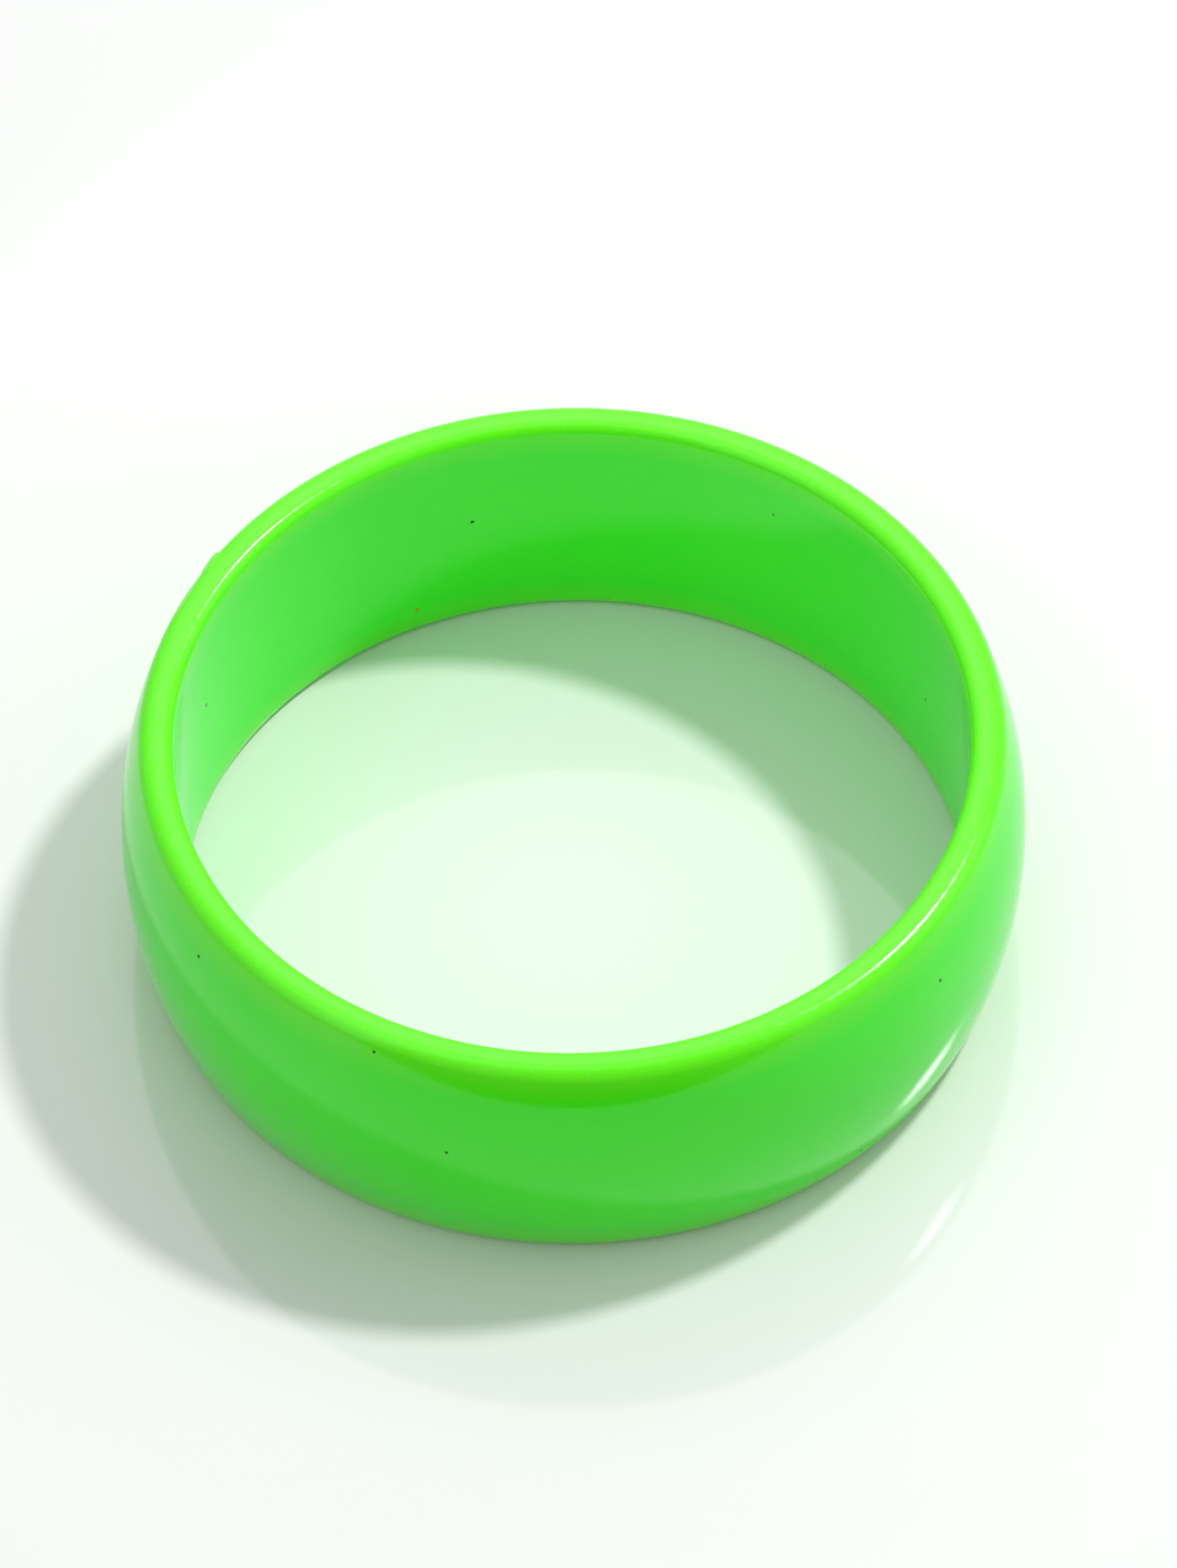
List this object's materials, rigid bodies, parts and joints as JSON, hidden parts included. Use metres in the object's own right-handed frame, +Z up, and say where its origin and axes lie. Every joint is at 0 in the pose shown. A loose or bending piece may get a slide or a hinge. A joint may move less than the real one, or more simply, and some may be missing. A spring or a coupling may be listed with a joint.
{
  "type": "bangle bracelet",
  "caption": "Rigid closed bangle bracelet with a wide domed outside, a straight inner wall and rounded lips, moulded in glossy green plastic.",
  "frame": {"origin": "on the bangle's axis, in the plane that the lower lip rests on", "axes": "+Z up along the bangle's axis, towards the gated lip; +X and +Y across the opening, with the gate stub 147.4 degrees round from +X"},
  "size_m": [0.0756, 0.0756, 0.0234],
  "materials": {
    "green_acrylic": "polished gloss, faintly translucent neon green"
  },
  "bodies": {
    "root": {"bangle_band": "green_acrylic"}
  },
  "joints": []
}
